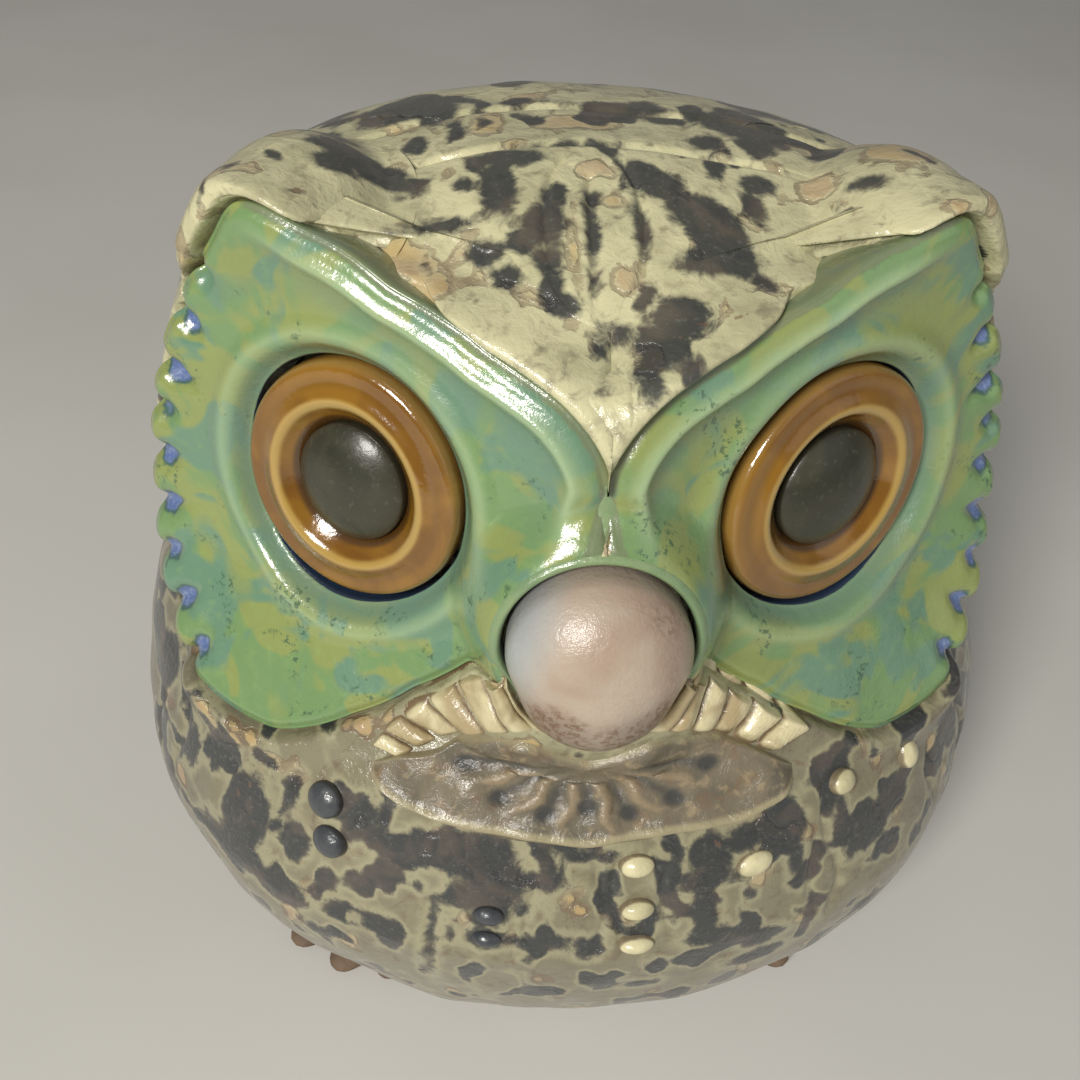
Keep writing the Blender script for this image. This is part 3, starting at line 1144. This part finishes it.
def collar_piece():
    """The collar round the beak's upper half, and the bridge that runs up between the discs."""
    turn = np.linspace(math.pi / 2 - COLLAR_SPAN, math.pi / 2 + COLLAR_SPAN, COLLAR_COLUMNS)
    fade = smooth(np.abs(turn - math.pi / 2), COLLAR_SPAN, COLLAR_SPAN * 0.75)
    gap, lift, pale = section_columns(COLLAR_SECTION)
    radius = beak_edge(turn) + gap * (0.45 + 0.55 * fade)
    collar = Shape()
    points = on_beak(radius * np.cos(turn), radius * np.sin(turn), lift - 0.4 + 0.4 * fade)
    collar.grid(points, flip=True, top=pale)
    v = np.linspace(BRIDGE_TOP, BRIDGE_FOOT, BRIDGE_ROWS)
    u = -(EYE[0] + FACE_V[0] * v + FACE_N[0] * disc_bend(v)) / FACE_U[0]
    line = swollen(from_face(u, v, disc_bend(v), 1) * np.array([0.0, 1, 1]))
    aside, lift, pale = section_columns(BRIDGE_SECTION)
    collar.grid(line + aside[..., None] * BEAK_SIDE + lift[..., None] * BRIDGE_WAY, top=pale)
    collar.piece("beak_collar_glazed", "beak_collar", "collar_glaze", COLLAR_FINISH)


beak_piece()
collar_piece()


# ---------------------------------------------------------------- bib
def chest_points(x, z, lift):
    """Points on the chest at x and height z, lifted off it by lift mm."""
    start = np.stack([x, x * 0 + BODY_Y, z], -1)
    way = np.broadcast_to(-AFT, start.shape)
    y = BODY_Y - reach(start, way, *CHEST_REACH)
    y_x = BODY_Y - reach(start + SLOPE_STEP * BEAK_SIDE, way, *CHEST_REACH)
    y_z = BODY_Y - reach(start + SLOPE_STEP * UP, way, *CHEST_REACH)
    normal = np.stack([(y_x - y) / SLOPE_STEP, -np.ones_like(y), (y_z - y) / SLOPE_STEP], -1)
    normal /= np.linalg.norm(normal, axis=-1)[..., None]
    return np.stack([x, y, z], -1) + normal * lift[..., None]


def drawn_up(points):
    """How far the body at these points is moved to meet the edges of the discs."""
    shift = np.zeros(points.shape)
    for side in SIDES:
        near, u, v, w = near_disc(points, side)
        out, index = rim_distance(u, v)
        level = settled(w, out, index) - 2.4 * smooth(out, 1.2, 0.2)
        shift[near] += (np.array([side, 1, 1]) * FACE_N) * (level - w)[..., None]
    return swollen(points + shift) - points


def on_chest(x, z, lift):
    """Points lifted off the chest as it is once the discs and the beak have drawn it up."""
    return chest_points(x, z, lift) + drawn_up(chest_points(x, z, lift * 0))


def curve(x, listed, blur=9):
    """A smoothed line through a short list of (x, z) points."""
    z = np.interp(x, [p[0] for p in listed], [p[1] for p in listed])
    kernel = np.hanning(blur * 2 + 3)[1:-1]
    kernel /= kernel.sum()
    return np.convolve(np.pad(z, blur, mode="edge"), kernel, "valid")


BIB_HALF = 23.5
BIB_MID = BIB_LOW[2] + 9.6  # height of the point the drops and ribs fan out from
BIB_SQUEEZE = 0.62  # the fan of drops is this much wider than a round one
BIB_COLUMNS, BIB_ROWS = 260, 60
BIB_RISE = 1.3
BIB_SINK = 0.45
BIB_RIBS = range(-60, 61, 24)  # degrees from straight down
BIB_DROPS = range(-72, 73, 24)
# upper edge and hem as (x, height)
BIB_TOP = (
    (-23.5, 48.7), (-20, 50.6), (-15.7, 51.9), (-9.8, 55.8), (-6.4, 57.0), (-2.8, 55.0), (0, 53.9),
    (2.8, 55.0), (6.0, 57.0), (11.3, 54.9), (18.5, 51.4), (23.5, 48.4),
)
BIB_HEM = (
    (-23.5, 48.2), (-20, 46.3), (-16, 45.2), (-8.2, 44.4), (0, 43.8), (8, 44.5), (16, 44.9), (21, 46.2),
    (23.5, 48.0),
)


def bib_axes(x, z, degrees):
    """Distances along and beside the line that leaves the bib's middle at an angle."""
    a = math.radians(degrees)
    wide, deep = x * BIB_SQUEEZE, BIB_MID - z
    return wide * math.sin(a) + deep * math.cos(a), wide * math.cos(a) - deep * math.sin(a)


def bib_values(x, z, share, depth):
    """Raised ribs, inked drops and hem of the bib, each from 0 to about 1."""
    ribs, ink = np.zeros_like(x), np.zeros_like(x)
    for k, degrees in enumerate(BIB_RIBS):
        along, aside = bib_axes(x, z, degrees)
        rib = bump(aside + 0.25 * np.sin(along * 1.7 + k), 0.5)
        ribs = np.maximum(ribs, rib * smooth(along, 2.2, 3.8) * smooth(along, 9.2, 6.6))
    for degrees in BIB_DROPS:
        along, aside = bib_axes(x, z, degrees)
        end = 5.9 + 2.8 * abs(math.sin(math.radians(degrees)))
        stem = bump(aside, 0.3 + 0.07 * np.clip(along, 0, 8))
        stem = stem * smooth(along, 1.2, 4.5) * smooth(along, end, end - 1.0)
        dot = bump(np.hypot(aside, (along - end + 0.4) * 0.8), 0.85)
        ink = np.maximum(ink, np.maximum(0.62 * stem, 0.95 * dot))
    hem = bump((share - 0.09) * depth, 0.7) + 0.6 * bump((share - 0.96) * depth, 0.45)
    return {"ink": ink, "hem": hem, "ribs": ribs}


def bib_piece():
    """The crescent bib, laid on the chest between its hem and its upper edge."""
    line = np.linspace(-BIB_HALF, BIB_HALF, BIB_COLUMNS)
    hem = curve(line, BIB_HEM)
    top = np.maximum(curve(line, BIB_TOP), hem + 0.3)
    share = np.linspace(0, 1, BIB_ROWS)[:, None]
    x = line[None] + share * 0
    z = hem[None] * (1 - share) + top[None] * share
    inside = np.minimum(smooth(share, 0, 0.09), smooth(share, 1, 0.9))
    inside = inside * smooth(np.abs(x), BIB_HALF, BIB_HALF - 2.5)
    values = bib_values(x, z, share, (top - hem)[None])
    relief = 0.4 * values["ribs"] - 0.5 * values["ink"] + 0.4 * values["hem"]
    relief = relief + 0.17 * ripple(np.stack([x, z, x * 0], -1), 2.2, 51)
    bib = Shape()
    bib.grid(on_chest(x, z, (BIB_RISE + relief) * inside - BIB_SINK), **values)
    bib.piece("bib_panel", "bib", "bib_glaze", BIB_FINISH)


bib_piece()

# ---------------------------------------------------------------- whisker fans
RIDGE_COLUMNS, RIDGE_ROWS = 26, 48
RIDGE_RISE = 1.35
RIDGE_SINK = 0.4
RIDGE_OVERRUN = (-0.06, 1.12)  # the sheet runs past the ridges' ends by these shares
# upper and lower end of each ridge as (x, z), from the beak outwards, on each side
FAN_RIDGES = {
    1: (
        ((9.6, 65.6), (3.6, 58.2)), ((11.7, 65.0), (6.2, 58.3)), ((13.6, 64.6), (8.8, 57.4)),
        ((15.6, 63.4), (11.6, 55.4)), ((17.8, 61.2), (14.2, 53.6)), ((20.6, 57.0), (17.0, 52.4)),
        ((23.6, 52.8), (19.8, 50.9)),
    ),
    -1: (
        ((9.8, 65.4), (4.2, 58.4)), ((11.6, 64.2), (6.8, 58.2)), ((13.7, 61.9), (9.0, 56.8)),
        ((16.2, 58.7), (11.6, 54.8)), ((18.3, 55.9), (14.2, 53.2)), ((20.6, 53.1), (16.8, 52.0)),
        ((22.4, 51.0), (19.2, 50.6)),
    ),
}


def fan_sheet(ridges, seed):
    """A sheet of side-by-side ridges over the chest, and how high each point stands."""
    count = len(ridges)
    rng = np.random.default_rng(seed)
    heights = rng.uniform(0.85, 1.1, count + 1)
    across = np.linspace(-0.5, count - 0.5, RIDGE_COLUMNS * count)[None]
    first, last = RIDGE_OVERRUN
    down = np.linspace(first, last, RIDGE_ROWS)[:, None]
    ends = np.array(ridges)

    def spread(values):
        """Ridge values between ridges, carried on in a straight line past both ends."""
        line = np.interp(across, np.arange(count), values)
        line += np.clip(across, None, 0) * (values[1] - values[0])
        return line + np.clip(across - count + 1, 0, None) * (values[-1] - values[-2])

    x = spread(ends[:, 0, 0]) * (1 - down) + spread(ends[:, 1, 0]) * down + 0.35 * np.sin(down * math.pi)
    z = spread(ends[:, 0, 1]) * (1 - down) + spread(ends[:, 1, 1]) * down
    centre = np.round(across)
    off = np.abs(across - centre) * 2
    ridge = np.clip(1 - off**2.2, 0, 1) ** 0.7 * heights[np.clip(centre, 0, count).astype(int)]
    taper = smooth(down, first, 0.2) * smooth(down, last, 0.9)
    sides = smooth(across, -0.5, -0.2) * smooth(across, count - 0.5, count - 0.8)
    stand = ridge * taper * sides
    return np.abs(x), z, RIDGE_RISE * stand - RIDGE_SINK, smooth(stand, 0.15, 0.95)


def fan_piece(side):
    """One fan of whisker ridges beside the beak."""
    x, z, lift, stand = fan_sheet(FAN_RIDGES[side], 60 + side)
    fan = Shape()
    fan.grid(on_chest(x, z, lift), top=stand)
    fan.piece("fan_" + SIDES[side], "whisker_fan_" + SIDES[side], "fan_glaze", FAN_FINISH, mirror_x=side < 0)


for side in SIDES:
    fan_piece(side)

# ---------------------------------------------------------------- pellets on the chest
PELLET_RISE = 1.2
PELLET_SINK = 0.15
PELLET_ROWS, PELLET_COLUMNS = 16, 40
PELLET_SLOPE_STEP = 0.5
# name, finish, and each pellet's degrees round the torso, height, half width and half height
PELLETS = (
    ("pellets_pale", PELLET_FINISH, (
        (50, 43.6, 1.7, 2.1), (38, 45.2, 1.8, 1.5), (23, 40.2, 2.4, 1.6), (7, 42.0, 2.0, 1.4),
        (7, 37.0, 2.0, 1.3), (7, 32.4, 2.1, 1.1),
    )),
    ("pellets_dark", DARK_PELLET_FINISH, (
        (-36, 44.0, 2.3, 2.2), (-34, 39.8, 2.2, 2.0), (-12, 36.0, 1.8, 1.3), (-12, 33.0, 1.8, 1.1),
    )),
)


def torso_point(degrees, height):
    """Point just under the torso's surface at an angle and a height, and the way out of it."""
    a = math.radians(degrees)
    way = np.array([[math.sin(a), -math.cos(a), 0.0]])
    base = np.array([[0.0, BODY_Y, height]])
    across = reach(base, way, *AXIS_REACH)[0]
    above = reach(base + PELLET_SLOPE_STEP * UP, way, *AXIS_REACH)[0]
    out = way[0] - UP * (above - across) / PELLET_SLOPE_STEP
    out /= np.linalg.norm(out)
    return base[0] + way[0] * across - out * PELLET_SINK, out


def dome_grid(middle, out, half_width, half_height):
    """A low oval dome standing on the body, and how near its top each point is."""
    side_way, up_way = cross_ways(UP, out)
    t = np.sin(np.linspace(0.01, 1, PELLET_ROWS) * math.pi / 2)[:, None]
    a = around(PELLET_COLUMNS)[None]
    height = PELLET_RISE * (1 - t**2.2) ** 0.7 - 0.5 * smooth(t, 0.92, 1.0)
    points = middle + side_way * (half_width * t * np.cos(a))[..., None]
    points = points + up_way * (half_height * t * np.sin(a))[..., None]
    return points + out * height[..., None], smooth(t, 1.0, 0.72)


for name, finish, listed in PELLETS:
    pellets = Shape()
    for degrees, height, half_width, half_height in listed:
        middle, out = torso_point(degrees, height)
        points, top_value = dome_grid(middle, out, half_width, half_height)
        pellets.grid(points, closed=True, cap_first=True, top=top_value)
    pellets.piece(name, "chest_pellets", "pellet_glaze", finish)

# ---------------------------------------------------------------- ears
EAR_WAY = np.array([0.56, -0.17, 0.81])  # from the core to the tip of the +X ear
EAR_WAY /= np.linalg.norm(EAR_WAY)
EAR_SPREAD = 0.27  # radians from the tip to the edge of the ear, seen from the core
EAR_DISTANCE = 60  # mm from the core to the tip, about
EAR_ROWS, EAR_COLUMNS = 56, 120


def ear_piece(side):
    """One low ear tuft: a cap that swells off the head and stays over the disc's corner."""
    side_way, up_way = cross_ways(UP, EAR_WAY)
    spread = np.linspace(0.002, EAR_SPREAD, EAR_ROWS)[:, None]
    a = around(EAR_COLUMNS)[None]
    way = EAR_WAY * np.cos(spread)[..., None] - side_way * (np.sin(spread) * np.cos(a))[..., None]
    way = way + up_way * (np.sin(spread) * np.sin(a))[..., None]
    base = CORE + way * reach(CORE, way, *CORE_REACH)[..., None]
    mm = spread * EAR_DISTANCE
    lump = 0.9 * bump(mm, 6.5) + 0.1 - 0.5 * smooth(mm, 9, 15)
    points = base + way * (lump + 0.16 * ripple(base, 9, 21))[..., None]
    u, v, w = to_face(points, 1)
    out, index = rim_distance(u, v)
    under = disc_pocket(u, v, index)
    limit = under + (RIM_W[index] + 0.5 - under) * smooth(out, 0.2, 1.4)
    over = smooth(out, 5.5, 1.2) * np.clip(w - limit, 0, None)
    corner = smooth(RIM_TURN[index], 32, 48) * smooth(RIM_TURN[index], 100, 80)
    gap = np.clip(RIM_W[index] + 0.35 - w, 0, None)
    short = gap * smooth(gap, 7.0, 4.0) * smooth(out, 6.0, 1.6) * smooth(out, 0.3, 1.0)
    points = points + FACE_N * (short * corner * smooth(mm, 15, 11) - over)[..., None]
    points = points * np.array([side, 1, 1])
    ear = Shape()
    ear.grid(points, closed=True, cap_first=True, flip=side < 0, **body_values(points))
    ear.piece("ear_" + SIDES[side], "ear_tuft_" + SIDES[side], "ear_glaze", CROWN_FINISH)


for side in SIDES:
    ear_piece(side)

# ---------------------------------------------------------------- feet
TOES = ((24.0, -36.0), (30.4, -34.8), (36.2, -31.0))
TOE_R = 3.2
TOE_FLATNESS = 0.62
TOE_ROWS, TOE_COLUMNS = 36, 22


def toe_grid(start, end):
    """A flattened seed-shaped toe from start to end, and how near its top each point is."""
    axis = end - start
    length = np.linalg.norm(axis)
    axis = axis / length
    side_way = np.cross(axis, UP)
    side_way /= np.linalg.norm(side_way)
    lift_way = np.cross(side_way, axis)
    t = np.linspace(0.004, 0.996, TOE_ROWS)[:, None]
    a = around(TOE_COLUMNS)[None]
    r = TOE_R * (t**0.55 * (1 - t) ** 0.5 * 2) ** 0.75
    points = start + axis * (t * length)[..., None] + side_way * (r * np.cos(a))[..., None]
    points = points + lift_way * (TOE_FLATNESS * r * np.sin(a))[..., None]
    points[..., 2] = np.maximum(points[..., 2], GROUND)
    return points, smooth(np.sin(a), -0.1, 0.85)


def foot_piece(side):
    """One foot: three toe tips that look out from under the torso."""
    foot = Shape()
    for x, y in TOES:
        tip = np.array([x * 1.01, y + 0.3, GROUND + 2.2])
        root = np.array([x * 0.6, (y - BODY_Y) * 0.6 + BODY_Y, GROUND + 3.0])
        points, top_value = toe_grid(root, tip)
        foot.grid(points, closed=True, cap_first=True, cap_last=True, top=top_value)
    foot.piece("toes_" + SIDES[side], "foot_" + SIDES[side], "bare_clay", CLAY_FINISH, mirror_x=side < 0)


for side in SIDES:
    foot_piece(side)

# ---------------------------------------------------------------- floor, light and camera
FLOOR_HALF = 1.4
FLOOR_CORNERS = ((-1, -1), (1, -1), (1, 1), (-1, 1))
WORLD_COLOUR = (0.86, 0.84, 0.80, 1)
WORLD_STRENGTH = 0.21
CAMERA_LENS = 37.87
CAMERA_SENSOR = 36
CAMERA_PLACE = Vector((-10.78, -109.99, 148.06)) * MM
CAMERA_AXES = (
    (0.99882, -0.03067, 0.03760),  # to the right
    (-0.00737, 0.67015, 0.74219),  # up
    (-0.04796, -0.74160, 0.66913),  # back
)


def floor_piece():
    """A plain pale floor."""
    mesh = bpy.data.meshes.new("floor")
    mesh.from_pydata([(x * FLOOR_HALF, y * FLOOR_HALF, 0) for x, y in FLOOR_CORNERS], [], [(0, 1, 2, 3)])
    floor = bpy.data.objects.new("floor", mesh)
    bpy.context.scene.collection.objects.link(floor)
    f = Finish("floor_paper", 0.8)
    f.ground(linear(205, 204, 198), linear(212, 211, 206), f.noise(60, 3, 0.5), 0.3, 0.7)
    mesh.materials.append(f.colour())


def area_light(name, place, target, size, power, tint):
    """A round soft light at place that points at target."""
    data = bpy.data.lights.new(name, "AREA")
    data.shape = "DISK"
    data.size = size
    data.energy = power
    data.color = tint
    light = bpy.data.objects.new(name, data)
    bpy.context.scene.collection.objects.link(light)
    light.location = place
    way = Vector(target) - Vector(place)
    light.rotation_euler = way.to_track_quat("-Z", "Y").to_euler()


def studio_world():
    """Even light from all round."""
    world = bpy.data.worlds.new("studio")
    bpy.context.scene.world = world
    world.use_nodes = True
    background = world.node_tree.nodes["Background"]
    background.inputs["Color"].default_value = WORLD_COLOUR
    background.inputs["Strength"].default_value = WORLD_STRENGTH


def studio_camera():
    """The camera, from above the owl's face and a little to its right."""
    data = bpy.data.cameras.new("camera")
    data.sensor_width = CAMERA_SENSOR
    data.lens = CAMERA_LENS
    data.clip_start = 0.01
    camera = bpy.data.objects.new("camera", data)
    bpy.context.scene.collection.objects.link(camera)
    turned = Matrix(CAMERA_AXES).transposed().to_4x4()
    turned.translation = CAMERA_PLACE
    camera.matrix_world = turned
    bpy.context.scene.camera = camera


floor_piece()
area_light("key", (-0.30, -0.52, 0.50), (0, 0, 0.06), 0.24, 5.1, (1, 0.97, 0.92))
area_light("fill", (0.7, -0.5, 0.5), (0, 0, 0.05), 0.9, 0.8, (0.95, 0.97, 1))
studio_world()
studio_camera()
bpy.context.scene.view_settings.view_transform = "Standard"
